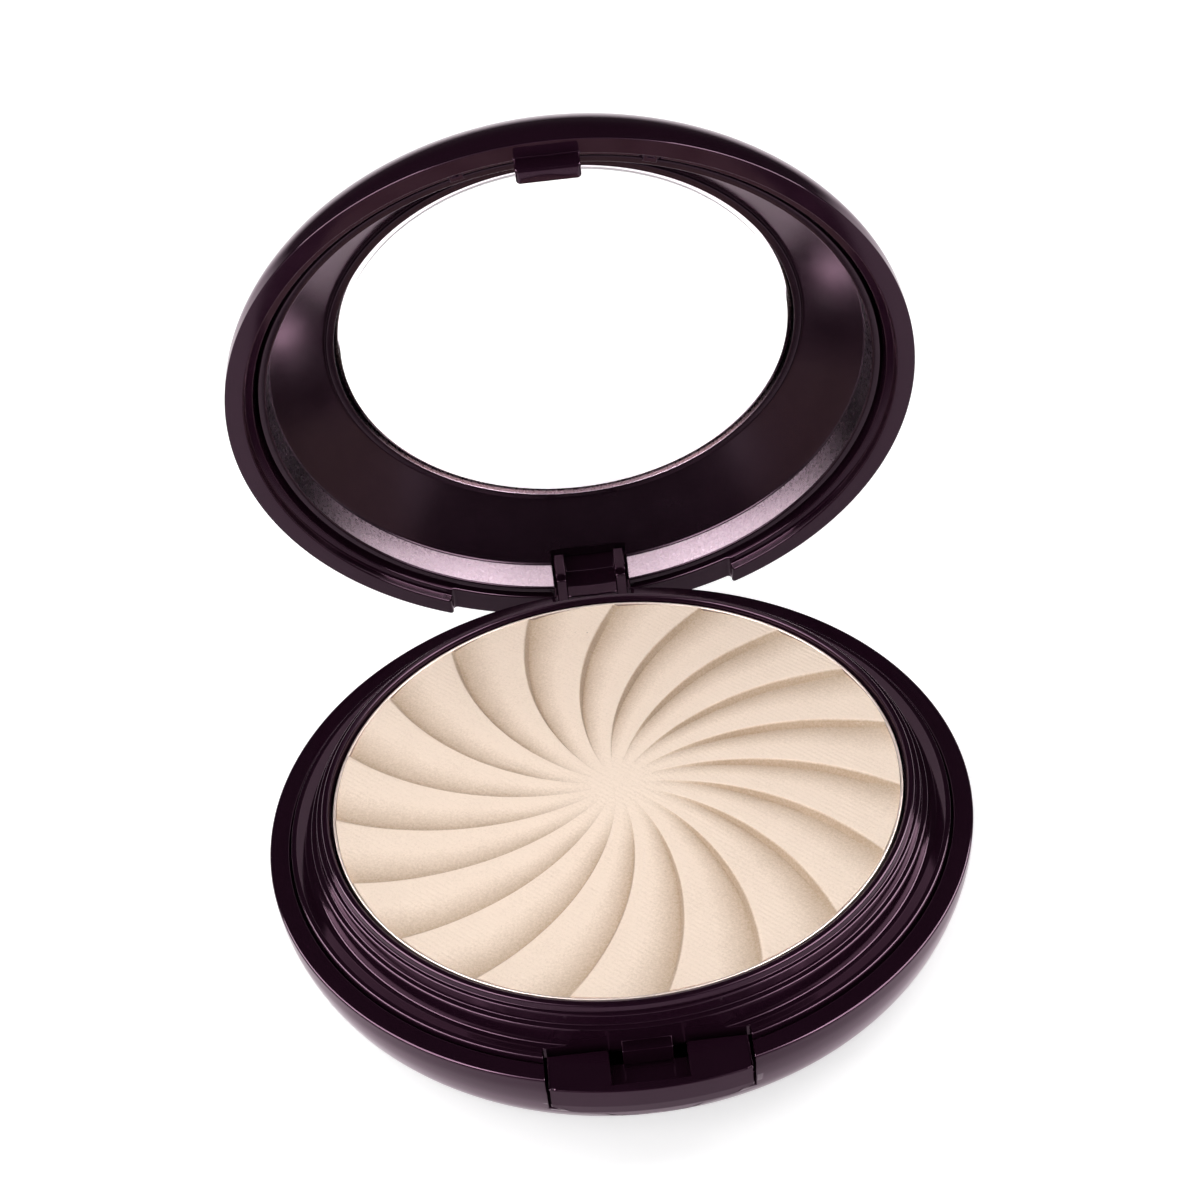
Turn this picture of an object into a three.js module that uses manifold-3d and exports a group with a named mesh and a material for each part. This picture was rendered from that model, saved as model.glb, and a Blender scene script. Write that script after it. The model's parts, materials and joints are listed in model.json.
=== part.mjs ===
// Round powder compact, standing open. Millimetres, +Z up, Y from the latch
// (negative) to the hinge (positive), origin under the middle of the base.
import * as THREE from 'three';
import { mergeVertices } from 'three/addons/utils/BufferGeometryUtils.js';
import Module from 'manifold-3d';

const wasm = await Module();
wasm.setup();

// ---- driving dimensions ------------------------------------------------
const CASE_R = 37.5;          // outer radius of both case halves
const RIM_Z = 12.0;           // height of the flat rim on which the halves meet
const LAND_W = 2.0;           // width of the flat rim
const GAP = 0.3;              // play between neighbouring pieces
const FOOT_R = 24.0;          // radius of the flat underside
const LID_RISE = 16.0;        // height of the closed lid over the rim

const HINGE_Y = 34.8;         // hinge axis, behind the middle
const HINGE_Z = RIM_Z - 4.45; // and below the rim
const OPEN_ANGLE = THREE.MathUtils.degToRad(79.6);
const PIN_R = 0.6;
const KNUCKLE_R = 1.7;
const EAR_IN = 2.9;           // the two lid ears stand between these distances
const EAR_OUT = 4.1;          // from the middle
const PIN_HALF = 7.2;

const PAN_R = 30.2;
const PAN_TOP = RIM_Z + 3.9;
const PAN_FLOOR = RIM_Z - 1.2;
const PAN_WALL = 0.4;

const MIRROR_R = 25.3;
const MIRROR_FACE = RIM_Z + 9.9;
const MIRROR_T = 1.0;
const MIRROR_BEVEL = 1.0;     // width of the ground edge
const MIRROR_BACK = MIRROR_FACE + MIRROR_T;
const FILM_R = MIRROR_R - 0.5;
const FILM_T = 0.15;          // protective film over the mirror
const GLUE_T = 0.2;           // adhesive discs under the pan and the mirror
const SLIT = 0.05;            // air between the thin stuck-on layers

const BUTTON_HALF = 10.0;     // half width of the push button
const BUTTON_BACK = -33.0;    // its rear edge
const BUTTON_DROP = 5.2;      // height of its outer face
const BUTTON_R = 38.6;        // its outer face stands proud of the case
const POCKET_HALF = 3.85;     // pocket in the button for the lid's hook
const POCKET_Z = RIM_Z - 2.25;
const HOOK_Z = POCKET_Z + GAP;
const HOOK_HALF = 3.3;
const SEGMENTS = 80;

// ---- helpers -----------------------------------------------------------
const v2 = (x, y) => new THREE.Vector2(x, y);

// Smooth outline through a few points.
function smooth(points, count) {
  return new THREE.SplineCurve(points.map(([r, z]) => v2(r, z))).getPoints(count);
}

function solidOf(geometry) {
  const bare = geometry.index ? geometry.toNonIndexed() : geometry;
  bare.deleteAttribute('normal');
  bare.deleteAttribute('uv');
  const merged = mergeVertices(bare, 1e-4);
  const mesh = new wasm.Mesh({
    numProp: 3,
    vertProperties: merged.attributes.position.array,
    triVerts: new Uint32Array(merged.index.array),
  });
  return new wasm.Manifold(mesh);
}

// Body of revolution about the vertical axis through the origin.
function turned(outline, segments = SEGMENTS) {
  const lathe = new THREE.LatheGeometry(outline, segments);
  lathe.rotateX(Math.PI / 2);
  return solidOf(lathe);
}

function box(x0, x1, y0, y1, z0, z1) {
  const g = new THREE.BoxGeometry(x1 - x0, y1 - y0, z1 - z0);
  g.translate((x0 + x1) / 2, (y0 + y1) / 2, (z0 + z1) / 2);
  return solidOf(g);
}

// Plate parallel to the YZ plane with the given outline of [y, z] points.
function sidePlate(shape, x0, x1) {
  const g = new THREE.ExtrudeGeometry(shape, {
    depth: x1 - x0, bevelEnabled: false, curveSegments: 10,
  });
  g.applyMatrix4(new THREE.Matrix4().set(
    0, 0, 1, x0,
    1, 0, 0, 0,
    0, 1, 0, 0,
    0, 0, 0, 1,
  ));
  return solidOf(g);
}

// Round bar along X through the hinge axis.
function hingeBar(radius, x0, x1, segments = 20) {
  const g = new THREE.CylinderGeometry(radius, radius, x1 - x0, segments);
  g.rotateZ(Math.PI / 2);
  g.translate((x0 + x1) / 2, HINGE_Y, HINGE_Z);
  return solidOf(g);
}

// ---- base --------------------------------------------------------------
const BOWL_SIDE = smooth([
  [FOOT_R, 0], [28, 0.35], [31.6, 1.45], [34.2, 3.2], [35.9, 5.4],
  [36.9, 7.8], [37.4, 10], [CASE_R, RIM_Z - 0.15],
], 12);

function filledBowl() {
  return turned([
    v2(0, 0), ...BOWL_SIDE, v2(CASE_R - 0.15, RIM_Z), v2(0, RIM_Z),
  ]);
}

function baseShell() {
  const shell = turned([
    v2(0, 0), ...BOWL_SIDE,
    v2(CASE_R - 0.15, RIM_Z), v2(CASE_R - LAND_W - 0.1, RIM_Z),
    v2(CASE_R - LAND_W - 0.1, 10.6), v2(34.3, 10.6), v2(34.3, 6.6),
    v2(33.6, 4.9), v2(32.2, 3.2), v2(29.8, 2.1), v2(26, 1.6), v2(0, 1.6),
  ]);
  const bowl = filledBowl();
  const latchOpening = box(-BUTTON_HALF - GAP, BUTTON_HALF + GAP, -40, -32.6, 6.7, 13);
  const earOpening = box(-EAR_OUT - GAP, EAR_OUT + GAP, 32.4, 40, 4.8, 13);
  const bearings = box(-PIN_HALF, PIN_HALF, 32.8, 38, 5.2, 10)
    .subtract(earOpening).intersect(bowl);
  const foot = new THREE.Shape();
  foot.moveTo(33.1, 3.4);
  foot.lineTo(HINGE_Y + KNUCKLE_R, 3.4);
  foot.lineTo(HINGE_Y + KNUCKLE_R, HINGE_Z);
  foot.absarc(HINGE_Y, HINGE_Z, KNUCKLE_R, 0, Math.PI, false);
  const knuckle = sidePlate(foot, -EAR_IN + GAP, EAR_IN - GAP).intersect(bowl);
  const bore = hingeBar(PIN_R + 0.1, -PIN_HALF - 0.2, PIN_HALF + 0.2);
  return shell.subtract(latchOpening).subtract(earOpening)
    .add(bearings).add(knuckle).subtract(bore);
}

const CHORD_Y = -32.1;        // flat on the collar behind the push button

// Outer side of the collar: three rounded steps, then the crest.
const COLLAR = [
  [33.2, 12.45], [32.85, 12.7], [32.7, 14.1], [32.45, 14.3], [32.25, 14.35],
  [32.1, 15.35], [31.9, 15.55], [31.7, 15.6], [31.5, 16.0], [31.15, 16.3],
  [30.8, 16.3], [30.5, 16.1],
];

function baseTray() {
  const tray = turned([
    v2(0, 9.4), v2(31.3, 9.4), v2(31.7, 10.8), v2(35.15, 10.8),
    v2(35.15, RIM_Z + 0.4), v2(35.0, RIM_Z + 0.55),
    ...COLLAR.map(([r, z]) => v2(r, z)),
    v2(PAN_R + GAP, PAN_FLOOR - GAP), v2(0, PAN_FLOOR - GAP),
  ]);
  const behindButton = box(-11.6, 11.6, -40, CHORD_Y, 9, 14.2);
  const behindEars = box(-EAR_OUT - GAP, EAR_OUT + GAP, 32.5, 40, 9, 14.2);
  const catchBlock = box(-2.5, 2.5, -33.5, CHORD_Y + 0.6, POCKET_Z + GAP, RIM_Z);
  return tray.subtract(behindButton).subtract(behindEars).add(catchBlock);
}

function powderPan() {
  return turned([
    v2(0, PAN_FLOOR), v2(PAN_R - 0.4, PAN_FLOOR), v2(PAN_R, PAN_FLOOR + 0.4),
    v2(PAN_R, PAN_TOP - 0.1), v2(PAN_R - 0.1, PAN_TOP), v2(PAN_R - PAN_WALL + 0.1, PAN_TOP),
    v2(PAN_R - PAN_WALL, PAN_TOP - 0.1), v2(PAN_R - PAN_WALL, PAN_FLOOR + 0.7),
    v2(PAN_R - PAN_WALL - 0.3, PAN_FLOOR + PAN_WALL), v2(0, PAN_FLOOR + PAN_WALL),
  ]);
}

function disc(radius, z0, z1, segments = 64) {
  return turned([v2(0, z0), v2(radius, z0), v2(radius, z1), v2(0, z1)], segments);
}

// Pressed powder: flutes swirl outwards, each with one steep flank, and fade
// out towards the middle and a little towards the rim.
const CAKE_R = PAN_R - PAN_WALL - 0.2;
const CAKE_FLUTES = 19;
const CAKE_TWIST = THREE.MathUtils.degToRad(30);
const CAKE_EDGE = PAN_TOP - 0.25;  // mean height of the powder at its rim
const CAKE_CROWN = 0.35;           // how much higher the middle stands
const FLUTE_DEPTH = 0.8;
const STEEP_SHARE = 0.18;          // part of each flute taken by the steep flank

function cakeHeight(r, angle) {
  const t = r / CAKE_R;
  const turns = (CAKE_FLUTES * (angle + CAKE_TWIST * t)) / (2 * Math.PI);
  const phase = turns - Math.floor(turns);
  const saw = phase < STEEP_SHARE ? phase / STEEP_SHARE : (1 - phase) / (1 - STEEP_SHARE);
  const rise = Math.sin((saw * Math.PI) / 2) - 0.6;
  const fade = THREE.MathUtils.smoothstep(t, 0.12, 0.75);
  return CAKE_EDGE + CAKE_CROWN * (1 - t * t) + FLUTE_DEPTH * fade * rise;
}

function powderCake() {
  const rings = 8;
  const columns = CAKE_FLUTES * 6;
  const bottom = PAN_FLOOR + PAN_WALL + 0.2;
  const points = [0, 0, bottom, 0, 0, cakeHeight(0, 0)];
  const ringAt = (ring) => 2 + ring * columns;
  for (let ring = 0; ring < rings; ring += 1) {
    const r = (CAKE_R * (ring + 1)) / rings;
    for (let c = 0; c < columns; c += 1) {
      const a = (2 * Math.PI * c) / columns;
      points.push(r * Math.cos(a), r * Math.sin(a), cakeHeight(r, a));
    }
  }
  for (let c = 0; c < columns; c += 1) {
    const a = (2 * Math.PI * c) / columns;
    points.push(CAKE_R * Math.cos(a), CAKE_R * Math.sin(a), bottom);
  }
  const faces = [];
  for (let c = 0; c < columns; c += 1) {
    const next = (c + 1) % columns;
    faces.push(1, ringAt(0) + c, ringAt(0) + next);
    for (let ring = 0; ring < rings; ring += 1) {
      const near = ringAt(ring);
      const far = ringAt(ring + 1);
      faces.push(near + c, far + c, far + next, near + c, far + next, near + next);
    }
    faces.push(0, ringAt(rings) + next, ringAt(rings) + c);
  }
  const g = new THREE.BufferGeometry();
  g.setAttribute('position', new THREE.Float32BufferAttribute(points, 3));
  g.setIndex(faces);
  return solidOf(g);
}

// Push button: stands a little proud of the case and runs out into it below.
// Hollow from below, with a pocket from behind into which the hook drops.
function latchButton() {
  const top = RIM_Z;
  const low = top - BUTTON_DROP;
  const front = new THREE.Shape();
  front.moveTo(-BUTTON_HALF, top);
  front.lineTo(-BUTTON_HALF, low + 1.3);
  front.quadraticCurveTo(0, low - 1.3, BUTTON_HALF, low + 1.3);
  front.lineTo(BUTTON_HALF, top);
  const g = new THREE.ExtrudeGeometry(front, {
    depth: 8, bevelEnabled: false, curveSegments: 14,
  });
  g.rotateX(Math.PI / 2);
  g.translate(0, BUTTON_BACK, 0);
  const outside = turned([
    v2(0, 5.5), v2(35.9, 5.5), v2(36.9, 6.6), v2(37.9, 7.6), v2(38.4, 8.7),
    v2(BUTTON_R, 9.8), v2(BUTTON_R, top - 0.15), v2(BUTTON_R - 0.15, top), v2(0, top),
  ]);
  const hollow = turned([v2(0, 5), v2(36.1, 5), v2(36.1, top - 1.2), v2(0, top - 1.2)])
    .intersect(box(-BUTTON_HALF + 1.1, BUTTON_HALF - 1.1, -40, -30, 5, 12))
    .subtract(box(-POCKET_HALF - 0.8, POCKET_HALF + 0.8, -40, -30, POCKET_Z - 0.8, 12));
  const pocket = box(-POCKET_HALF, POCKET_HALF, -37.5, -30, POCKET_Z, 13);
  return solidOf(g).intersect(outside).subtract(hollow).subtract(pocket);
}

// ---- lid, drawn closed and then swung open about the hinge --------------
const DOME = smooth([
  [CASE_R, RIM_Z + 0.15], [37.4, RIM_Z + 2], [36.9, RIM_Z + 3.6], [36.0, RIM_Z + 5.3],
  [34.6, RIM_Z + 7.2], [32.6, RIM_Z + 9.4], [30, RIM_Z + 11.4], [26.5, RIM_Z + 13.3],
  [20, RIM_Z + LID_RISE - 1], [10, RIM_Z + LID_RISE - 0.2], [0, RIM_Z + LID_RISE],
], 15);

function hook() {
  const shape = new THREE.Shape([
    v2(-35.9, 14), v2(-35.9, HOOK_Z + 0.4), v2(-35.5, HOOK_Z), v2(-33.9, HOOK_Z),
    v2(-33.9, HOOK_Z + 0.5), v2(-34.6, HOOK_Z + 1.1), v2(-34.6, 14),
  ]);
  return sidePlate(shape, -HOOK_HALF, HOOK_HALF);
}

function hingeEar(x0, x1) {
  const shape = new THREE.Shape();
  shape.moveTo(HINGE_Y - KNUCKLE_R, HINGE_Z);
  shape.absarc(HINGE_Y, HINGE_Z, KNUCKLE_R, Math.PI, 2 * Math.PI, false);
  shape.lineTo(HINGE_Y + KNUCKLE_R, 13.6);
  shape.lineTo(34.9, 17.6);
  shape.lineTo(33.0, 17.6);
  shape.lineTo(33.0, 12);
  return sidePlate(shape, x0, x1);
}

function lidShell() {
  const shell = turned([
    v2(0, 26.6), v2(10, 26.4), v2(19.5, 25.7), v2(25.9, 24.05), v2(29.2, 22.3),
    v2(31.6, 20.5), v2(33.3, 18.6), v2(34.2, 16.9), v2(34.2, 14.5), v2(34.5, 13.0),
    v2(35.35, 12.9), v2(CASE_R - LAND_W, RIM_Z), v2(CASE_R - 0.15, RIM_Z), ...DOME,
  ]);
  const rearRelief = box(-16.4, 16.4, 20, 40, 11, RIM_Z + 1.2);
  const bore = hingeBar(PIN_R + 0.1, -EAR_OUT - 1, EAR_OUT + 1);
  return shell.subtract(rearRelief).add(hook())
    .add(hingeEar(EAR_IN, EAR_OUT)).add(hingeEar(-EAR_OUT, -EAR_IN)).subtract(bore);
}

function mirrorFrame() {
  const seat = MIRROR_BACK + GLUE_T + 2 * SLIT;
  const frame = turned([
    v2(0, seat), v2(MIRROR_R + 0.2, seat),
    v2(MIRROR_R + 0.2, MIRROR_FACE - 0.2), v2(MIRROR_R + 0.45, MIRROR_FACE - 0.45),
    v2(MIRROR_R + 0.9, MIRROR_FACE - 0.5), v2(MIRROR_R + 1.15, MIRROR_FACE - 0.2),
    v2(32.7, 16.9), v2(33.1, 13.7), v2(33.25, 13.55), v2(33.75, 13.55), v2(33.9, 13.7),
    v2(33.9, 16.4), v2(33.2, 17.8), v2(26.9, 22.8), v2(26.4, 23.6), v2(0, 23.6),
  ]);
  const earWindow = box(-EAR_OUT - GAP, EAR_OUT + GAP, 31.2, 36, 13, 18.1);
  return frame.subtract(earWindow);
}

function mirror() {
  return turned([
    v2(0, MIRROR_FACE), v2(MIRROR_R - MIRROR_BEVEL, MIRROR_FACE), v2(MIRROR_R, MIRROR_FACE + 0.3),
    v2(MIRROR_R, MIRROR_BACK), v2(0, MIRROR_BACK),
  ]);
}

// ---- assembly ----------------------------------------------------------
const plum = { color: 0x24121f, roughness: 0.18, metalness: 0 };
const steel = { color: 0xb8b8bc, roughness: 0.3, metalness: 1 };
const aluminium = { color: 0xd6d4d0, roughness: 0.35, metalness: 1 };
const glue = { color: 0xdedbd0, roughness: 0.6, metalness: 0 };
const white = { color: 0xf6f6f6, roughness: 0.25, metalness: 0 };

const object = new THREE.Group();
object.name = 'powder_compact';

function place(name, solid, look, swing = false) {
  const { vertProperties, triVerts, numProp } = solid.getMesh();
  if (numProp !== 3) throw new Error(`unexpected vertex layout in ${name}`);
  const g = new THREE.BufferGeometry();
  g.setAttribute('position', new THREE.BufferAttribute(new Float32Array(vertProperties), 3));
  g.setIndex(new THREE.BufferAttribute(new Uint32Array(triVerts), 1));
  if (swing) {
    g.translate(0, -HINGE_Y, -HINGE_Z);
    g.rotateX(-OPEN_ANGLE);
    g.translate(0, HINGE_Y, HINGE_Z);
  }
  g.computeVertexNormals();
  const mesh = new THREE.Mesh(g, new THREE.MeshStandardMaterial(look));
  mesh.name = name;
  object.add(mesh);
}

place('base_shell', baseShell(), plum);
place('base_tray', baseTray(), plum);
place('pan_adhesive', disc(18, PAN_FLOOR - SLIT - GLUE_T, PAN_FLOOR - SLIT), glue);
place('powder_pan', powderPan(), aluminium);
place('powder_cake', powderCake(), { color: 0xf0dcc4, roughness: 0.95, metalness: 0 });
place('latch_button', latchButton(), plum);
place('hinge_pin', hingeBar(PIN_R, -PIN_HALF + 0.2, PIN_HALF - 0.2), steel);
place('lid_shell', lidShell(), plum, true);
place('mirror_frame', mirrorFrame(), { ...plum, roughness: 0.4 }, true);
place('mirror_adhesive', disc(20, MIRROR_BACK + SLIT, MIRROR_BACK + SLIT + GLUE_T), glue, true);
place('mirror', mirror(), { color: 0xf4f4f6, roughness: 0.03, metalness: 1 }, true);
place('mirror_film', disc(FILM_R, MIRROR_FACE - SLIT - FILM_T, MIRROR_FACE - SLIT), white, true);

export default object;
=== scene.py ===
"""Powder compact standing open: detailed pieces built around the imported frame.

Lengths below are millimetres in the frame's own axes (+Z up, latch at -Y, hinge
at +Y). Meshes are made in metres. The lid is drawn shut and then swung open.
"""

import json
import math

import bmesh
import bpy
from mathutils import Matrix, Vector


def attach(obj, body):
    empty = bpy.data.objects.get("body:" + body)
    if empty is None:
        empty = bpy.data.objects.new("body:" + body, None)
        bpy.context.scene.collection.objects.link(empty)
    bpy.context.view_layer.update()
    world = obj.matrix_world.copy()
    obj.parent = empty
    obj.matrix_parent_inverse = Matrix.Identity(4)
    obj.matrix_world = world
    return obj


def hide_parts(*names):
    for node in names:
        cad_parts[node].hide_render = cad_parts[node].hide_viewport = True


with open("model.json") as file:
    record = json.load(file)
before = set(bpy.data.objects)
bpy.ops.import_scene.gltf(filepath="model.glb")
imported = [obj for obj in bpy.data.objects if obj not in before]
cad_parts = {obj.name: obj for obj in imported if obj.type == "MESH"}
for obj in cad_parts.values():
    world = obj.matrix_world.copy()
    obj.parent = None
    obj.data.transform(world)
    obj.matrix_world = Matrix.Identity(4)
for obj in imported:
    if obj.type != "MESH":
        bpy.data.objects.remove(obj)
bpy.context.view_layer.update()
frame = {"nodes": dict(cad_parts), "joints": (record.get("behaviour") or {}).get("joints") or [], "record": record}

# ---- driving dimensions ---------------------------------------------------
MM = 0.001
ROUND = 288                 # facets round a turned piece
CASE_R = 37.5               # outer radius of both case halves
RIM_Z = 12.0                # height of the flat rim on which they meet
LAND_W = 2.0                # width of that rim
LID_RISE = 16               # height of the shut lid over the rim
FOOT_R = 24.0               # radius of the flat underside
EDGE = 0.12                 # rounding of moulded edges
GAP = 0.3                   # play between neighbouring pieces
SLIT = 0.06                 # between the lid's rim and the base's rim when shut
BEYOND = 40                 # outside the case, where cutters end

hinge = next(j for j in frame["joints"] if j["name"] == "lid_hinge")
HINGE_Y = hinge["pos_m"][1] / MM
HINGE_Z = hinge["pos_m"][2] / MM
SHUT_DEG = min(hinge["range_deg"])
KNUCKLE_R = 1.7
PIN_R = 0.6
PIN_HALF = 7.2              # half length of the pin and its bearings
EAR_IN = 2.9                # each ear of the lid stands between these
EAR_OUT = 4.1               # distances from the middle
EAR_LOW = 4.8               # lower end of the slot for the ears

PAN_R = 30.2
PAN_WALL = 0.28
PAN_TOP = RIM_Z + 3.9
PAN_FLOOR = RIM_Z - 1.2

MIRROR_R = 25.3
MIRROR_FACE = RIM_Z + 9.9
MIRROR_T = 1.0
MIRROR_BEVEL = 1.0          # width of the ground edge
FILM_T = 0.15

BUTTON_HALF = 10.0          # half width
BUTTON_BACK = -33.0
BUTTON_DROP = 4.6           # height of its outer face in the middle
BUTTON_RISE = 1.9           # how much higher its lower corners are
BUTTON_R = 38.6             # its outer face stands proud of the case
BUTTON_WALL = 1.1
LATCH_LOW = 6.7             # lower edge of the opening for the button
POCKET_HALF = 3.85          # pocket in the button for the lid's hook
POCKET_Z = RIM_Z - 2.25
HOOK_Z = POCKET_Z + GAP
HOOK_HALF = 3.3
HOOK_CORNER = 0.55
CHORD_Y = -32.1             # flat on the tray behind the button


# ---- outlines --------------------------------------------------------------
def rounded(corners, steps=4):
    """Outline through (r, z, radius) corners, each turned by an arc of that radius."""
    points = []
    for i, (r, z, radius) in enumerate(corners):
        here = Vector((r, z))
        if radius == 0 or i in (0, len(corners) - 1):
            points.append(here)
            continue
        to_last = Vector(corners[i - 1][:2]) - here
        to_next = Vector(corners[i + 1][:2]) - here
        half = to_last.angle(to_next) / 2
        reach = radius / math.tan(half)
        reach = min(reach, to_last.length * 0.49, to_next.length * 0.49)
        start = here + to_last.normalized() * reach
        end = here + to_next.normalized() * reach
        for k in range(steps + 1):
            t = k / steps
            points.append(start.lerp(here, t).lerp(here.lerp(end, t), t))
    return points


def spline(points, steps):
    """Smooth outline through all the points (Catmull-Rom)."""
    p = [Vector(q) for q in points]
    p = [2 * p[0] - p[1]] + p + [2 * p[-1] - p[-2]]
    out = []
    for a, b, c, d in zip(p, p[1:], p[2:], p[3:]):
        for k in range(steps):
            t = k / steps
            out.append(0.5 * (2 * b + (c - a) * t + (2 * a - 5 * b + 4 * c - d) * t * t
                              + (3 * b - a - 3 * c + d) * t ** 3))
    out.append(p[-2])
    return out


def arc(u, v, radius, start, end, steps):
    """Points on the circle round (u, v), from start to end degrees."""
    angles = [math.radians(start + (end - start) * k / steps) for k in range(steps + 1)]
    return [(u + radius * math.cos(a), v + radius * math.sin(a)) for a in angles]


def mirrored(points):
    """The same points on the other side of the middle, in the opposite order."""
    return [(-u, v) for u, v in reversed(points)]


# ---- mesh building ---------------------------------------------------------
def new_object(name, bm):
    """Object from a mesh whose doubled points are merged and faces turned outwards."""
    bmesh.ops.remove_doubles(bm, verts=bm.verts, dist=0.004 * MM)
    bmesh.ops.recalc_face_normals(bm, faces=bm.faces)
    return linked(name, bm)


def linked(name, bm):
    """Object from a mesh as it is, in the scene."""
    mesh = bpy.data.meshes.new(name)
    bm.to_mesh(mesh)
    bm.free()
    obj = bpy.data.objects.new(name, mesh)
    bpy.context.scene.collection.objects.link(obj)
    return obj


def polar(radius, angle, z):
    """Point in metres from a radius and a height in millimetres and an angle in radians."""
    return (radius * math.cos(angle) * MM, radius * math.sin(angle) * MM, z * MM)


def turned(name, outline):
    """Body of revolution from an outline that starts and ends on the axis."""
    bm = bmesh.new()
    rings = []
    for r, z in outline:
        count = 1 if r < 1e-6 else ROUND
        rings.append([bm.verts.new(polar(r, 2 * math.pi * k / ROUND, z)) for k in range(count)])
    for low, high in zip(rings, rings[1:]):
        for k in range(ROUND):
            n = (k + 1) % ROUND
            loop = [low[k % len(low)], low[n % len(low)], high[n % len(high)], high[k % len(high)]]
            corners = list(dict.fromkeys(loop))   # a point on the axis is met twice
            if len(corners) > 2:
                bm.faces.new(corners)
    return new_object(name, bm)


def extruded(name, outline, place, low, high):
    """Prism: place(u, v, w) turns outline point (u, v) at depth w into x, y, z."""
    bm = bmesh.new()
    bottom = [bm.verts.new(Vector(place(u, v, low)) * MM) for u, v in outline]
    top = [bm.verts.new(Vector(place(u, v, high)) * MM) for u, v in outline]
    bm.faces.new(bottom)
    bm.faces.new(list(reversed(top)))
    for k in range(len(outline)):
        n = (k + 1) % len(outline)
        bm.faces.new([bottom[k], top[k], top[n], bottom[n]])
    return new_object(name, bm)


def along_x(u, v, w):
    """For an outline drawn in Y and Z."""
    return (w, u, v)


def along_y(u, v, w):
    """For an outline drawn in X and Z."""
    return (u, w, v)


def along_z(u, v, w):
    """For an outline drawn in X and Y."""
    return (u, v, w)


def box(x0, x1, y0, y1, z0, z1):
    """Block between these limits, to cut with or to join."""
    return extruded("tool", [(x0, y0), (x1, y0), (x1, y1), (x0, y1)], along_z, z0, z1)


def hinge_bore(half_length):
    """Cutter for the hinge pin's hole."""
    circle = arc(HINGE_Y, HINGE_Z, PIN_R + 0.1, 0, 351, 39)
    return extruded("tool", circle, along_x, -half_length, half_length)


def ear_slot(front, low, high):
    """Cutter for the room in which the lid's ears turn."""
    return box(-EAR_OUT - GAP, EAR_OUT + GAP, front, BEYOND, low, high)


def combine(obj, tool, operation):
    """Boolean of obj with tool, applied; the tool is used up."""
    m = obj.modifiers.new("cut", "BOOLEAN")
    m.operation = operation
    m.solver = "EXACT"
    m.object = tool
    graph = bpy.context.evaluated_depsgraph_get()
    result = bpy.data.meshes.new_from_object(obj.evaluated_get(graph))
    obj.modifiers.remove(m)
    obj.data = result
    bpy.data.objects.remove(tool)


def cut(obj, *tools):
    for tool in tools:
        combine(obj, tool, "DIFFERENCE")


def join(obj, *tools):
    for tool in tools:
        combine(obj, tool, "UNION")


def soften(obj, width=EDGE, angle=38):
    """Small rounding on the edges that were cut, then smooth shading."""
    if width:
        m = obj.modifiers.new("edges", "BEVEL")
        m.width = width * MM
        m.segments = 3
        m.limit_method = "ANGLE"
        m.angle_limit = math.radians(angle)
        m.use_clamp_overlap = False
    obj.data.polygons.foreach_set("use_smooth", [True] * len(obj.data.polygons))
    obj.data.set_sharp_from_angle(angle=math.radians(angle))
    if width:
        even = obj.modifiers.new("shading", "WEIGHTED_NORMAL")
        even.keep_sharp = True
    return obj


def swing_open(obj):
    """Turns a piece drawn on the shut lid about the hinge to where it stands open."""
    turn = Matrix.Rotation(math.radians(SHUT_DEG), 4, "X")
    axis = Matrix.Translation((0, HINGE_Y * MM, HINGE_Z * MM))
    obj.data.transform(axis @ turn @ axis.inverted())
    return obj


# ---- base ------------------------------------------------------------------
BOWL_SIDE = spline([
    (FOOT_R, 0), (28, 0.35), (31.6, 1.45), (34.2, 3.2), (35.9, 5.4),
    (36.9, 7.8), (37.4, 10), (CASE_R, RIM_Z - 0.2),
], 8)
OUTER_LIP = [(CASE_R - 0.05, RIM_Z - 0.05), (CASE_R - 0.2, RIM_Z)]


def filled_bowl():
    """The base's outside without its hollow, to trim other shapes to."""
    return turned("tool", [(0, 0), *BOWL_SIDE, *OUTER_LIP, (0, RIM_Z)])


def base_shell():
    """Hollow bowl with the button's opening in front, and the hinge's bearings behind."""
    mouth = CASE_R - LAND_W - 0.1
    inner = rounded([
        (CASE_R - 0.2, RIM_Z, 0), (mouth, RIM_Z, 0.15),
        (mouth, 10.6, 0.1), (34.3, 10.6, 0.1), (34.3, 6.6, 0.4),
        (33.6, 4.9, 0.6), (32.2, 3.2, 0.8), (29.8, 2.1, 1.0), (26, 1.6, 0.8), (0, 1.6, 0),
    ])[1:]
    shell = turned("case_base", [(0, 0), *BOWL_SIDE, *OUTER_LIP, *inner])
    latch_half = BUTTON_HALF + GAP
    latch_opening = box(-latch_half, latch_half, -BEYOND, -32.6, LATCH_LOW, RIM_Z + 1)
    bearings = box(-PIN_HALF, PIN_HALF, 32.8, 38, 5.2, 10)
    cut(bearings, ear_slot(32.4, EAR_LOW, RIM_Z + 1))
    combine(bearings, filled_bowl(), "INTERSECT")
    knuckle_back = HINGE_Y + KNUCKLE_R
    profile = [(33.1, 3.4), (knuckle_back, 3.4), *arc(HINGE_Y, HINGE_Z, KNUCKLE_R, 0, 180, 14)]
    knuckle = extruded("tool", profile, along_x, -EAR_IN + GAP, EAR_IN - GAP)
    combine(knuckle, filled_bowl(), "INTERSECT")
    cut(shell, latch_opening, ear_slot(32.4, EAR_LOW, RIM_Z + 1))
    join(shell, bearings, knuckle)
    cut(shell, hinge_bore(PIN_HALF + 0.2))
    return soften(shell)


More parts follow.
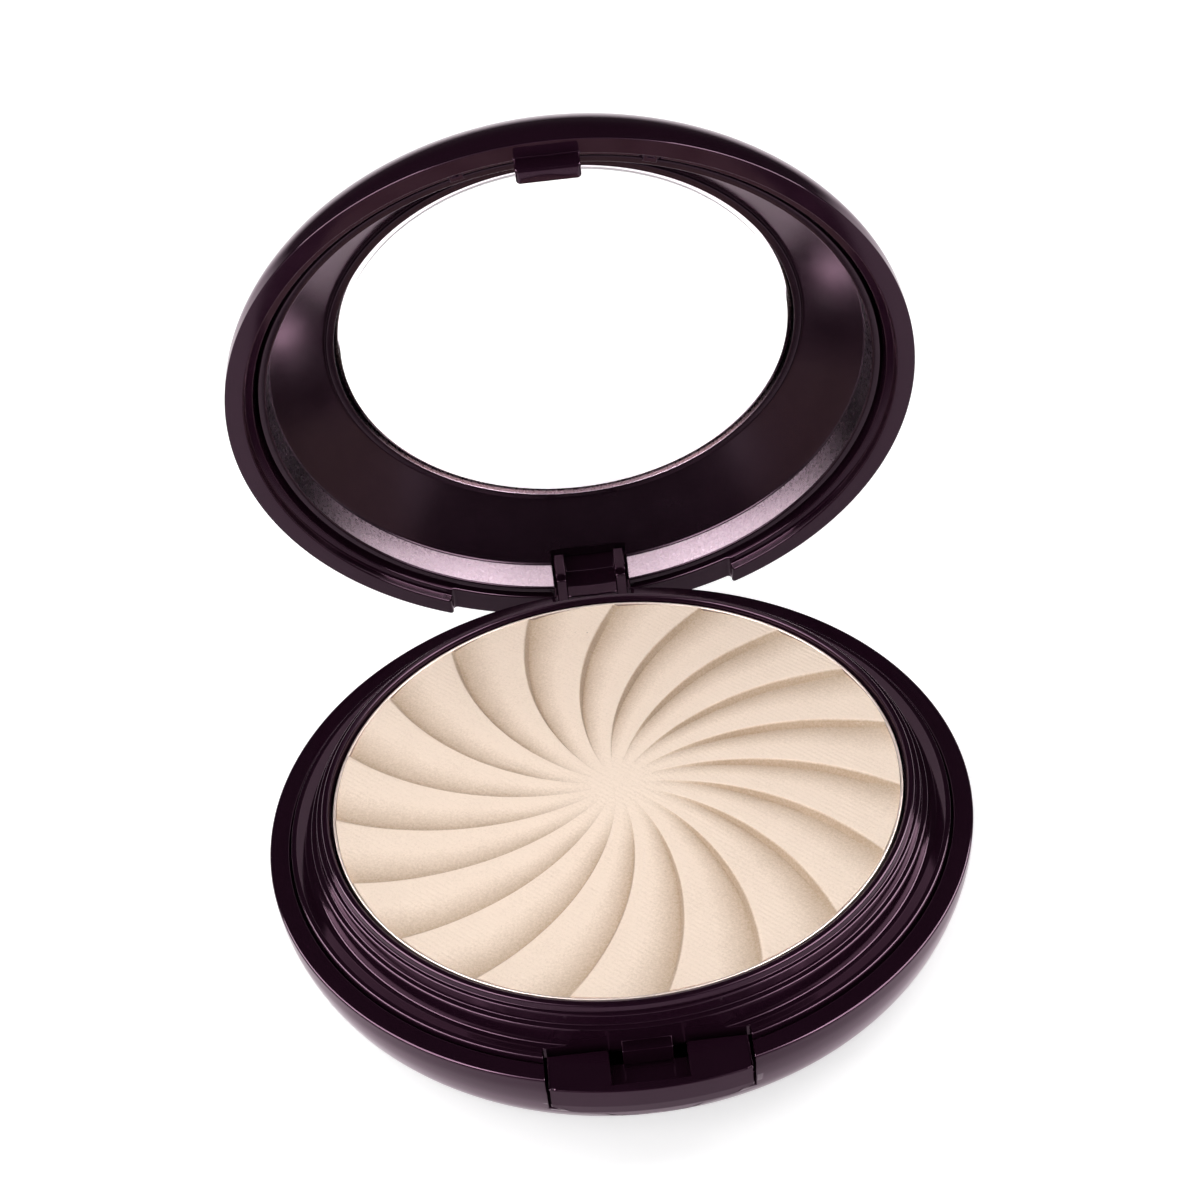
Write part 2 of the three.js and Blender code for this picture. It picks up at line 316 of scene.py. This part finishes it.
def base_tray():
    """Insert with the stepped collar round the pan, and the catch block behind the button."""
    outline = rounded([
        (0, 9.4, 0), (31.3, 9.4, 0.3), (31.7, 10.8, 0.3), (35.15, 10.8, 0.2),
        (35.15, RIM_Z + 0.56, 0.22), (34.6, RIM_Z + 0.56, 0.3), (33.6, RIM_Z + 0.2, 0.3),
        (33.0, RIM_Z + 0.25, 0.2),
        (32.75, 14.28, 0.22), (32.15, 14.38, 0.12),
        (32.0, 15.62, 0.2), (31.55, 15.62, 0.12),
        (31.35, 16.3, 0.3), (30.7, 16.3, 0.25), (30.5, 15.8, 0.2),
        (PAN_R + GAP, PAN_FLOOR - GAP, 0.1), (0, PAN_FLOOR - GAP, 0),
    ], 6)
    tray = turned("case_tray", outline)
    low = 9
    high = 14.2
    latch_half = BUTTON_HALF + GAP
    behind_button = box(-latch_half, latch_half, -BEYOND, CHORD_Y, low, high)
    cut(tray, behind_button, ear_slot(32.5, low, high))
    catch = box(-2.5, 2.5, -33.5, CHORD_Y + 0.6, POCKET_Z + GAP, RIM_Z)
    join(tray, catch)
    return soften(tray, 0.08)


def powder_pan():
    """Thin metal pan, open at the top."""
    inner = PAN_R - PAN_WALL
    pan = turned("powder_pan_shell", rounded([
        (0, PAN_FLOOR, 0), (PAN_R, PAN_FLOOR, 0.5), (PAN_R, PAN_TOP, 0.12),
        (inner, PAN_TOP, 0.12), (inner, PAN_FLOOR + PAN_WALL, 0.3), (0, PAN_FLOOR + PAN_WALL, 0),
    ]))
    return soften(pan, 0)


def latch_button():
    """Push button with a curved lower edge, hollow below, and a pocket for the lid's hook."""
    low = RIM_Z - BUTTON_DROP
    steps = 32
    front = [(-BUTTON_HALF, RIM_Z)]
    for k in range(steps + 1):
        x = 2 * k / steps - 1
        front.append((x * BUTTON_HALF, low + BUTTON_RISE * x * x))
    front.append((BUTTON_HALF, RIM_Z))
    block = extruded("latch_key", front, along_y, BUTTON_BACK, -BEYOND - 1)
    outside = turned("tool", rounded([
        (0, 5.5, 0), (35.9, 5.5, 0.1), (36.9, 6.6, 1.0), (37.9, 7.6, 1.0), (38.4, 8.7, 1.0),
        (BUTTON_R, 9.8, 1.0), (BUTTON_R, RIM_Z, 0.2), (0, RIM_Z, 0),
    ]))
    combine(block, outside, "INTERSECT")
    ceiling = RIM_Z - 1.2
    hollow = turned("tool", [(0, 5), (36.1, 5), (36.1, ceiling), (0, ceiling)])
    half = BUTTON_HALF - BUTTON_WALL
    combine(hollow, box(-half, half, -BEYOND, BUTTON_BACK - 1, 5, RIM_Z), "INTERSECT")
    kept_half = POCKET_HALF + 0.8
    cut(hollow, box(-kept_half, kept_half, -BEYOND, -30, POCKET_Z - 0.8, RIM_Z))
    pocket = box(-POCKET_HALF, POCKET_HALF, -37.5, -30, POCKET_Z, RIM_Z + 1)
    cut(block, hollow, pocket)
    return soften(block, 0.15)


# ---- powder ----------------------------------------------------------------
CAKE_R = PAN_R - PAN_WALL - 0.05
CAKE_EDGE = PAN_TOP + 0.05  # height of the powder at its rim
CAKE_CROWN = 0.3            # how much higher the middle stands
FLUTES = 19
TWIST = math.radians(30)    # how far a flute turns from the middle to the rim
FLUTE_PHASE = math.radians(9)
FLUTE_DEPTH = 0.8
STEP_SHARE = 0.07           # part of each flute taken by its steep step


def smoothstep(low, high, x):
    """0 below low, 1 above high, and an S-shaped rise between them."""
    t = min(1.0, max(0.0, (x - low) / (high - low)))
    return t * t * (3 - 2 * t)


def flute(radius_share, angle):
    """Height of the relief (0 to 1), and how much shade is painted there (1 on the step, fading past its foot)."""
    sweep = angle + TWIST * (radius_share - 1) - FLUTE_PHASE
    phase = (FLUTES * sweep / (2 * math.pi)) % 1.0
    if phase < STEP_SHARE:
        return smoothstep(0, STEP_SHARE, phase), 1.0
    slope = (1 - phase) / (1 - STEP_SHARE)
    return 1 - (1 - slope) ** 1.7, max(0.0, 1 - slope / 0.6) ** 1.3


def relief(share, angle):
    """Height of the powder at a share of its radius, and how much shade is painted there."""
    height, painted_shade = flute(share, angle)
    away_from_middle = smoothstep(0.08, 0.6, share)
    near_rim = smoothstep(0.86, 1.0, share)
    depth = FLUTE_DEPTH * away_from_middle * (1 - 0.5 * near_rim)
    top = CAKE_EDGE + CAKE_CROWN * (1 - share ** 2)
    return top - depth * (1 - height), painted_shade * smoothstep(0.04, 0.4, share)


def powder_cake():
    """Disc whose mesh turns with the flutes, so that their steps stay clean."""
    columns = FLUTES * 44
    rings = 130
    bottom = PAN_FLOOR + PAN_WALL + 0.05
    around = [2 * math.pi * c / columns for c in range(columns)]
    bm = bmesh.new()
    middle = bm.verts.new(polar(0, 0, relief(0, 0)[0]))
    shade = [0.0]
    rows = []
    for ring in range(1, rings + 1):
        share = ring / rings
        row = []
        for turn in around:
            angle = turn - TWIST * (share - 1)
            z, painted_shade = relief(share, angle)
            row.append(bm.verts.new(polar(CAKE_R * share, angle, z)))
            shade.append(painted_shade)
        rows.append(row)
    rows.append([bm.verts.new(polar(CAKE_R, turn, bottom)) for turn in around])
    shade += [0.0] * columns
    for c in range(columns):
        n = (c + 1) % columns
        bm.faces.new([middle, rows[0][c], rows[0][n]])
        for inner, outer in zip(rows, rows[1:]):
            bm.faces.new([inner[c], outer[c], outer[n], inner[n]])
    bm.faces.new(list(reversed(rows[-1])))
    bmesh.ops.recalc_face_normals(bm, faces=bm.faces)
    cake = linked("pressed_powder", bm)
    # Painted shade on each point, which the powder's material turns into a darker colour
    painted_shade = cake.data.attributes.new("painted_shade", "FLOAT", "POINT")
    painted_shade.data.foreach_set("value", shade)
    return soften(cake, 0, 50)


# ---- lid, drawn shut -------------------------------------------------------
DOME = spline([
    (CASE_R, RIM_Z + 0.25), (37.4, RIM_Z + 2), (36.9, RIM_Z + 3.6), (36.0, RIM_Z + 5.3),
    (34.6, RIM_Z + 7.2), (32.6, RIM_Z + 9.4), (30, RIM_Z + 11.4), (26.5, RIM_Z + 13.3),
    (20, RIM_Z + LID_RISE - 1), (10, RIM_Z + LID_RISE - 0.2), (0, RIM_Z + LID_RISE),
], 7)


def lid_hook():
    """Hook seen from the side, trimmed to a front view with rounded lower corners."""
    side = [
        (-35.6, 14), (-35.6, HOOK_Z + 0.4), (-35.5, HOOK_Z + 0.15), (-35.2, HOOK_Z),
        (-34.0, HOOK_Z), (-33.9, HOOK_Z + 0.1), (-33.9, HOOK_Z + 0.5), (-34.6, HOOK_Z + 1.1),
        (-34.6, 14),
    ]
    left = arc(HOOK_CORNER - HOOK_HALF, HOOK_Z + HOOK_CORNER, HOOK_CORNER, 180, 270, 6)
    front = [(-HOOK_HALF, 14), *left, *mirrored(left), (HOOK_HALF, 14)]
    hook = extruded("tool", side, along_x, -HOOK_HALF - 1, HOOK_HALF + 1)
    combine(hook, extruded("tool", front, along_y, -37, -33), "INTERSECT")
    return hook


def lid_ear(x0, x1):
    """Ear that comes down from the lid and rounds the pin."""
    shape = arc(HINGE_Y, HINGE_Z, KNUCKLE_R, 180, 360, 14)
    shape += [(HINGE_Y + KNUCKLE_R, 13.6), (34.9, 17.6), (31.6, 17.6)]
    shape += [(32.3, 15.0), (33.0, 14.6), (33.0, 12)]
    return extruded("tool", shape, along_x, x0, x1)


def snap_tab(degrees):
    """Small U-shaped snap on the inside of the lid's wall, which holds the mirror frame."""
    tab, arm = [box(x - 0.2, x + 0.2, -35.4, -34.0, 12.85, 14.2) for x in (-0.55, 0.55)]
    bridge = box(-0.75, 0.75, -34.6, -34.0, 12.85, 13.25)
    join(tab, arm, bridge)
    tab.data.transform(Matrix.Rotation(math.radians(degrees), 4, "Z"))
    return tab


def rear_relief():
    """Cutter that lowers the lid's rim over the hinge, with soft ends."""
    half = 16.4
    top = RIM_Z + 1.2
    radius = 0.6
    right = arc(half + radius, RIM_Z + radius - 0.02, radius, 270, 180, 6)
    right += arc(half - radius, top - radius, radius, 0, 90, 6)
    floor_z = RIM_Z - 1
    outline = [(half + radius, floor_z), *right, *mirrored(right), (-half - radius, floor_z)]
    return extruded("tool", outline, along_y, 20, BEYOND)


def lid_shell():
    """Hollow dome with the hook in front, the ears behind and two snaps inside."""
    inner = rounded([
        (0, 26.6, 0), (10, 26.4, 1), (19.5, 25.7, 1), (25.9, 24.05, 1), (29.2, 22.3, 1),
        (31.6, 20.5, 1), (33.3, 18.6, 0.8), (34.2, 16.9, 0.5), (34.2, 14.5, 0.2),
        (34.5, 12.98, 0.12), (35.35, 12.9, 0.12), (CASE_R - LAND_W, RIM_Z + SLIT, 0.15),
        (CASE_R, RIM_Z + SLIT, 0.15), (CASE_R, RIM_Z + 0.25, 0),
    ])[:-1]
    shell = turned("case_lid", [*inner, *DOME])
    cut(shell, rear_relief())
    join(shell, lid_hook(), lid_ear(EAR_IN, EAR_OUT), lid_ear(-EAR_OUT, -EAR_IN))
    join(shell, snap_tab(-15.5), snap_tab(17.5))
    cut(shell, hinge_bore(EAR_OUT + 1))
    return swing_open(soften(shell))


def mirror_frame():
    """Steep outer wall, sloping ring and short inner wall, with a plate behind the mirror."""
    plate = MIRROR_FACE + 1.25
    frame_ring = turned("mirror_surround", rounded([
        (0, plate, 0), (MIRROR_R + 0.2, plate, 0.1), (MIRROR_R + 0.2, MIRROR_FACE - 0.5, 0.2),
        (MIRROR_R + 1.1, MIRROR_FACE - 0.5, 0.25), (MIRROR_R + 1.15, MIRROR_FACE - 0.15, 0.1),
        (32.7, 16.9, 0.5), (33.05, 13.5, 0.25), (33.95, 13.5, 0.2),
        (33.9, 16.4, 0.3), (33.2, 17.8, 0.3), (26.9, 22.8, 0.3), (26.4, 23.6, 0.3), (0, 23.6, 0),
    ], 6))
    cut(frame_ring, ear_slot(31.2, 13, 18.1))
    soften(frame_ring, 0.1)
    frame_ring.data.materials.append(LOOKS["frame_plastic"])
    frame_ring.data.materials.append(frame_wall_material())
    for face in frame_ring.data.polygons:
        radius = math.hypot(*face.center[:2]) / MM
        height = face.center.z / MM
        outer_wall = 32.7 < radius < 33.2 and 13.8 < height < 16.5
        inner_wall = radius < MIRROR_R + 0.25 and MIRROR_FACE - 0.4 < height < plate - 0.05
        if outer_wall or inner_wall:
            face.material_index = 1
    # Painted reflection: the walls show lilac metal within 40 degrees of the hinge, fading to plum by 72 degrees,
    # where the streak ends
    painted_reflection = frame_ring.data.attributes.new("painted_reflection", "FLOAT", "POINT")
    from_hinge = [abs(math.degrees(math.atan2(v.co.x, v.co.y))) for v in frame_ring.data.vertices]
    painted_reflection.data.foreach_set("value", [1 - smoothstep(40, 72, angle) for angle in from_hinge])
    return swing_open(frame_ring)


def mirror():
    """Glass disc with a bevelled edge."""
    back = MIRROR_FACE + MIRROR_T
    glass = turned("mirror_glass", rounded([
        (0, MIRROR_FACE, 0), (MIRROR_R - MIRROR_BEVEL, MIRROR_FACE, 0.1),
        (MIRROR_R, MIRROR_FACE + 0.3, 0.05), (MIRROR_R, back, 0.05), (0, back, 0),
    ]))
    return swing_open(soften(glass, 0, 12))


def mirror_film():
    """Thin protective sheet just in front of the glass."""
    radius = MIRROR_R - 0.5
    front = MIRROR_FACE - 0.2
    back = front + FILM_T
    film = turned("film_sheet", rounded([
        (0, front, 0), (radius, front, 0.04), (radius, back, 0.04), (0, back, 0),
    ], 2))
    return swing_open(soften(film, 0))


# ---- materials -------------------------------------------------------------
PLUM = (0.0145, 0.0042, 0.0105)
DEEP_PLUM = (0.011, 0.0045, 0.0085)
# Metal colour of the painted reflection streak on the frame's walls
PAINTED_REFLECTION_LILAC = (0.54, 0.42, 0.49)
POWDER_LIGHT = (0.94, 0.765, 0.63)
# Powder colour for the shade painted on the flutes' steps and below them
POWDER_PAINTED_SHADE = (0.52, 0.375, 0.26)
SPECK = (0.25, 0.16, 0.12)


class Look:
    """A node material with short ways to add the nodes used below."""

    def __init__(self, name, **sockets):
        self.material = bpy.data.materials.new(name)
        self.material.use_nodes = True
        self.nodes = self.material.node_tree.nodes
        self.links = self.material.node_tree.links
        self.shader = self.nodes["Principled BSDF"]
        for socket, value in sockets.items():
            self.shader.inputs[socket].default_value = value
        self.place = self.nodes.new("ShaderNodeTexCoord").outputs["Object"]

    def add(self, kind, **inputs):
        node = self.nodes.new(kind)
        for socket, value in inputs.items():
            self.feed(node, socket, value)
        return node

    def feed(self, node, socket, value):
        """Links the value to the socket if it comes from a node, or else sets it there."""
        target = node.inputs[socket]
        if isinstance(value, bpy.types.NodeSocket):
            self.links.new(value, target)
        else:
            target.default_value = value

    def noise(self, scale, detail=3.0, roughness=0.5):
        node = self.add("ShaderNodeTexNoise", Vector=self.place, Scale=scale, Detail=detail,
                        Roughness=roughness)
        return node.outputs["Fac"]

    def remap(self, value, low, high, to_low, to_high):
        """The value with low to high stretched over to_low to to_high, and clamped there."""
        node = self.add("ShaderNodeMapRange")
        for index, item in enumerate((value, low, high, to_low, to_high)):
            self.feed(node, index, item)
        return node.outputs["Result"]

    def math(self, operation, a, b):
        node = self.nodes.new("ShaderNodeMath")
        node.operation = operation
        self.feed(node, 0, a)
        self.feed(node, 1, b)
        return node.outputs[0]

    def mix(self, factor, a, b):
        """Colour between a and b."""
        node = self.nodes.new("ShaderNodeMix")
        node.data_type = "RGBA"
        self.feed(node, 0, factor)
        first, second = [i for i, s in enumerate(node.inputs) if s.type == "RGBA"]
        self.feed(node, first, a)
        self.feed(node, second, b)
        return next(o for o in node.outputs if o.type == "RGBA")

    def ramp(self, value, first, last):
        """Colour that goes from first to last as the value goes from 0 to 1."""
        node = self.add("ShaderNodeValToRGB", Fac=value)
        node.color_ramp.elements[0].color = (*first, 1)
        node.color_ramp.elements[1].color = (*last, 1)
        return node.outputs["Color"]

    def attribute(self, name):
        """Value stored on the mesh's points."""
        node = self.add("ShaderNodeAttribute")
        node.attribute_name = name
        return node.outputs["Fac"]

    def bump(self, height, distance, strength, base=None):
        """Relief of this distance in metres, on top of the base relief if there is one."""
        node = self.add("ShaderNodeBump", Strength=strength, Distance=distance, Height=height)
        if base is not None:
            self.feed(node, "Normal", base)
        return node.outputs["Normal"]

    def set(self, socket, value):
        self.feed(self.shader, socket, value)


def plum_plastic(name, body, rough_low, rough_high, grain_height):
    """Pearly plastic: partly metallic, so that its reflections stay plum at the edges too."""
    look = Look(name, **{"IOR": 1.42, "Metallic": 0.4, "Specular Tint": (0.85, 0.6, 0.74, 1.0)})
    cloud = look.noise(220.0, 4.0)
    wear = look.noise(1400.0, 6.0, 0.7)
    paler = [c * 1.35 for c in body]
    look.set("Base Color", look.mix(cloud, (*body, 1), (*paler, 1)))
    spread = look.math("ADD", look.math("MULTIPLY", cloud, 0.6), look.math("MULTIPLY", wear, 0.4))
    look.set("Roughness", look.remap(spread, 0.35, 0.68, rough_low, rough_high))
    waves = look.bump(look.noise(160.0, 2.0), 0.00001, 0.15)
    look.set("Normal", look.bump(look.noise(5200.0, 2.0), grain_height, 0.3, waves))
    return look.material


def frame_wall_material():
    """Lilac metal where the mask attribute is 1 and plain plum where it is 0: a painted reflection streak."""
    look = Look("frame_wall", **{"IOR": 1.4, "Metallic": 1.0})
    grain = look.noise(2600.0, 4.0, 0.6)
    look.set("Base Color", look.ramp(look.attribute("painted_reflection"), DEEP_PLUM, PAINTED_REFLECTION_LILAC))
    look.set("Roughness", look.remap(grain, 0.3, 0.7, 0.22, 0.34))
    look.set("Normal", look.bump(grain, 0.000004, 0.25))
    return look.material


def powder_material():
    """Matt powder, darker where the mesh attribute of painted shade is high, with specks and a pressed weave."""
    look = Look("pressed_powder", **{"IOR": 1.4, "Specular IOR Level": 0.2, "Sheen Weight": 0.15,
                                     "Sheen Roughness": 0.5})
    grain = look.noise(4200.0, 5.0, 0.75)
    cloud = look.noise(130.0, 3.0)
    # Painted shade from the mesh attribute, with random grain and patches in tone added
    shade = look.math("MULTIPLY", look.attribute("painted_shade"), 0.9)
    shade = look.math("ADD", shade, look.remap(grain, 0.3, 0.7, -0.24, 0.24))
    shade = look.math("ADD", shade, look.remap(cloud, 0.3, 0.7, -0.05, 0.05))
    tone = look.ramp(shade, POWDER_LIGHT, POWDER_PAINTED_SHADE)
    specks = look.add("ShaderNodeTexVoronoi", Vector=look.place, Scale=420.0)
    near = look.remap(specks.outputs["Distance"], 0.02, 0.05, 1.0, 0.0)
    few = look.remap(look.noise(90.0), 0.55, 0.62, 0.0, 0.6)
    look.set("Base Color", look.mix(look.math("MULTIPLY", near, few), tone, (*SPECK, 1)))
    look.set("Roughness", look.remap(grain, 0.3, 0.7, 0.82, 1.0))
    weave = look.add("ShaderNodeTexWave", Vector=look.place, Scale=820.0, Distortion=1.5)
    weave.bands_direction = "DIAGONAL"
    fabric = look.bump(weave.outputs["Fac"], 0.00004, 0.7)
    look.set("Normal", look.bump(grain, 0.0001, 0.8, fabric))
    return look.material


def metal(name, colour, rough_low, rough_high, scale):
    """Metal whose roughness varies in patches of this scale."""
    look = Look(name, **{"Metallic": 1.0, "Base Color": (*colour, 1.0)})
    streak = look.noise(scale, 4.0, 0.6)
    look.set("Roughness", look.remap(streak, 0.3, 0.7, rough_low, rough_high))
    look.set("Normal", look.bump(streak, 0.00001, 0.3))
    return look.material


def film_with_painted_glow():
    """Bright white plastic sheet with a painted glow: it emits light, though it is no lamp."""
    # The emission is painted light that makes the sheet brighter than its lighting would
    look = Look("film", **{"IOR": 1.45, "Emission Color": (1, 1, 1, 1), "Emission Strength": 0.35})
    cloud = look.noise(90.0, 3.0)
    look.set("Base Color", look.ramp(cloud, (0.95, 0.95, 0.95), (0.98, 0.98, 0.98)))
    look.set("Roughness", look.remap(cloud, 0.3, 0.7, 0.3, 0.36))
    look.set("Normal", look.bump(look.noise(300.0), 0.000004, 0.2))
    return look.material


def glue_material():
    """Dull yellowish adhesive."""
    look = Look("glue", **{"IOR": 1.45})
    cloud = look.noise(400.0, 3.0)
    look.set("Base Color", look.ramp(cloud, (0.62, 0.58, 0.48), (0.72, 0.69, 0.6)))
    look.set("Roughness", look.remap(cloud, 0.3, 0.7, 0.5, 0.7))
    look.set("Normal", look.bump(cloud, 0.00003, 0.4))
    return look.material


# ---- assembly --------------------------------------------------------------
LOOKS = {
    "case_plastic": plum_plastic("case_plastic", PLUM, 0.08, 0.12, 0.000002),
    "frame_plastic": plum_plastic("frame_plastic", DEEP_PLUM, 0.16, 0.22, 0.000003),
    "powder": powder_material(),
    "pan_metal": metal("pan_metal", (0.42, 0.35, 0.32), 0.4, 0.5, 1500.0),
    "pin_steel": metal("pin_steel", (0.55, 0.55, 0.57), 0.25, 0.4, 900.0),
    "mirror_glass": metal("mirror_glass", (0.93, 0.86, 0.9), 0.05, 0.1, 300.0),
    "film": film_with_painted_glow(),
    "glue": glue_material(),
}

SLOTS = {row["node"]: row["material_slot"] for row in frame["record"]["subparts"]}
BODIES = frame["record"]["behaviour"]["bodies"]
BUILT = {
    "base_shell": base_shell, "base_tray": base_tray, "powder_pan": powder_pan,
    "powder_cake": powder_cake, "latch_button": latch_button, "lid_shell": lid_shell,
    "mirror_frame": mirror_frame, "mirror": mirror, "mirror_film": mirror_film,
}

for body, members in BODIES.items():
    for node in members:
        if node in BUILT:
            piece = BUILT[node]()
            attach(piece, body)
            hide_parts(node)
        else:
            piece = frame["nodes"][node]
            piece.data.materials.clear()
        if not piece.data.materials:   # the mirror frame comes with its own two
            piece.data.materials.append(LOOKS[SLOTS[node]])


# ---- stage -----------------------------------------------------------------
def build_floor():
    """White floor just under the compact, which glows less further away."""
    bm = bmesh.new()
    bmesh.ops.create_grid(bm, x_segments=1, y_segments=1, size=3.0)
    floor = new_object("floor", bm)
    floor.location.z = -0.0002
    look = Look("floor", **{"Roughness": 0.6, "IOR": 1.3, "Base Color": (0.86, 0.86, 0.86, 1),
                            "Emission Color": (1, 1, 1, 1)})
    far = look.add("ShaderNodeVectorMath")
    far.operation = "LENGTH"
    look.feed(far, 0, look.place)
    look.set("Emission Strength", look.remap(far.outputs["Value"], 0.15, 0.7, 0.55, 0.2))
    floor.data.materials.append(look.material)


def build_world():
    """Dim grey surroundings, darker from a little above the horizon upwards."""
    world = bpy.data.worlds.new("studio")
    bpy.context.scene.world = world
    world.use_nodes = True
    nodes = world.node_tree.nodes
    links = world.node_tree.links
    place = nodes.new("ShaderNodeTexCoord").outputs["Generated"]
    split = nodes.new("ShaderNodeSeparateXYZ")
    links.new(place, split.inputs[0])
    ramp = nodes.new("ShaderNodeValToRGB")
    links.new(split.outputs["Z"], ramp.inputs["Fac"])
    stops = ramp.color_ramp.elements
    stops[0].position = 0.0
    stops[0].color = (0.07, 0.07, 0.07, 1)
    stops[1].position = 0.3
    stops[1].color = (0.03, 0.03, 0.03, 1)
    links.new(ramp.outputs["Color"], nodes["Background"].inputs["Color"])
    nodes["Background"].inputs["Strength"].default_value = 1.0


def direction(azimuth, elevation):
    """Unit vector away from the compact; degrees, with azimuth 0 in front."""
    a = math.radians(azimuth)
    e = math.radians(elevation)
    return Vector((math.sin(a) * math.cos(e), -math.cos(a) * math.cos(e), math.sin(e)))


def softbox(name, azimuth, elevation, away, size, radiance, seen_in):
    """Area light aimed at the compact; it shows in "glossy" or in "diffuse" light only."""
    width, height = size
    middle = Vector((0, 0, 0.02))
    place = away * direction(azimuth, elevation)
    data = bpy.data.lights.new(name, "AREA")
    data.shape = "RECTANGLE"
    data.size = width
    data.size_y = height
    data.energy = radiance * math.pi * width * height
    lamp = bpy.data.objects.new(name, data)
    lamp.location = middle + place
    lamp.rotation_euler = (-place).to_track_quat("-Z", "Y").to_euler()
    lamp.visible_glossy = seen_in == "glossy"
    lamp.visible_diffuse = seen_in == "diffuse"
    bpy.context.scene.collection.objects.link(lamp)


def build_lights():
    """Boxes at both sides that fade towards the front for the reflections, and soft fills."""
    for side in (-1, 1):
        softbox("side", side * 90, 38, 0.7, (0.8, 0.5), 19.0, "glossy")
        for azimuth, radiance in ((53, 12.0), (43, 6.0), (33, 2.5), (23, 1.0)):
            softbox("corner", side * azimuth, 40, 0.7, (0.12, 0.4), radiance, "glossy")
        softbox("side_fill", side * 112, 55, 0.9, (0.7, 0.7), 2.1, "diffuse")
    softbox("front_fill", -20, 38, 1.0, (1.0, 0.9), 2.4, "diffuse")
    softbox("low_front", 0, 4, 1.0, (1.0, 0.3), 3.5, "diffuse")


def build_camera():
    """Camera in front and above, a little rolled, aimed at a point over the rim's middle."""
    azimuth = -0.58
    elevation = 39.94
    roll = math.radians(-6.09)
    distance = 0.318612
    back = direction(azimuth, elevation)
    right = direction(azimuth + 90, 0)
    up = back.cross(right)
    aim = Vector((0, 0, RIM_Z * MM)) + 0.000355 * right + 0.022793 * up
    side = math.cos(roll) * right + math.sin(roll) * up
    over = -math.sin(roll) * right + math.cos(roll) * up
    turn = Matrix((side, over, back)).transposed()
    data = bpy.data.cameras.new("camera")
    data.sensor_width = 36.0
    data.lens = 89.57
    camera = bpy.data.objects.new("camera", data)
    camera.matrix_world = Matrix.Translation(aim + distance * back) @ turn.to_4x4()
    bpy.context.scene.collection.objects.link(camera)
    bpy.context.scene.camera = camera


build_floor()
build_world()
build_lights()
build_camera()
bpy.context.scene.view_settings.view_transform = "Standard"
